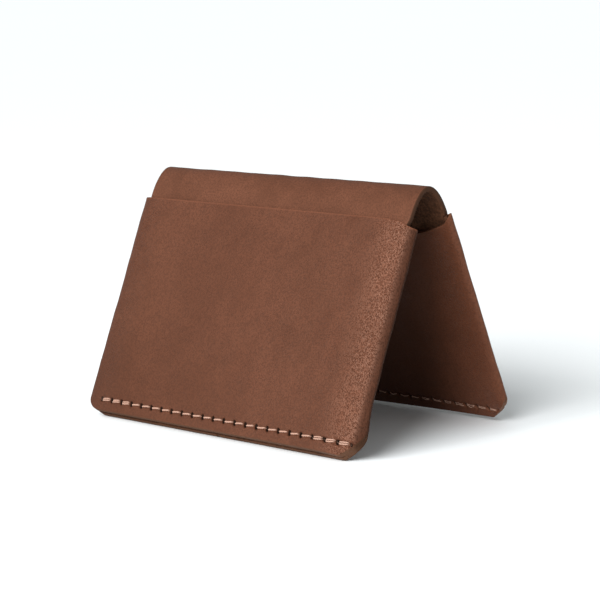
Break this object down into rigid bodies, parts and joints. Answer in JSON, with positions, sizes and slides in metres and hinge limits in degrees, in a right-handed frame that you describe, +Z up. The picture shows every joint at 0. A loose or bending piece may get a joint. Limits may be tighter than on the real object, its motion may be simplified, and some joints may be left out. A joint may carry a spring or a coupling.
{
  "type": "bifold card wallet",
  "caption": "Slim leather bifold wallet, standing open like a tent: two stitched card sleeves joined by a folded spine band.",
  "frame": {"origin": "under the middle of the fold, on the surface that the bottom edges stand on", "axes": "+X along the fold and the sleeves' width, +Y from the front sleeve to the rear sleeve, +Z up through the spine band"},
  "size_m": [0.1004, 0.0686, 0.0666],
  "materials": {
    "sleeve_leather": "matte",
    "band_leather": "matte",
    "waxed_thread": "matte"
  },
  "bodies": {
    "spine": {"spine_band": "band_leather"},
    "front_leg": {"front_sleeve_panel": "sleeve_leather", "front_sleeve_left_flap": "sleeve_leather", "front_sleeve_right_flap": "sleeve_leather", "front_band_tail": "band_leather", "front_thread": "waxed_thread"},
    "rear_leg": {"rear_sleeve_panel": "sleeve_leather", "rear_sleeve_left_flap": "sleeve_leather", "rear_sleeve_right_flap": "sleeve_leather", "rear_band_tail": "band_leather", "rear_thread": "waxed_thread"}
  },
  "joints": [
    {"name": "front_fold", "type": "hinge", "parent": "spine", "child": "front_leg", "pos_m": [0, -0.00241, 0.06584], "axis": [-1, 0, 0], "range_deg": [-23.6, 66.4]},
    {"name": "rear_fold", "type": "hinge", "parent": "spine", "child": "rear_leg", "pos_m": [0, 0.00241, 0.06584], "axis": [1, 0, 0], "range_deg": [-23.6, 66.4]}
  ],
  "couplings": [
    {"joint": "rear_fold", "follows": "front_fold", "ratio": 1}
  ]
}
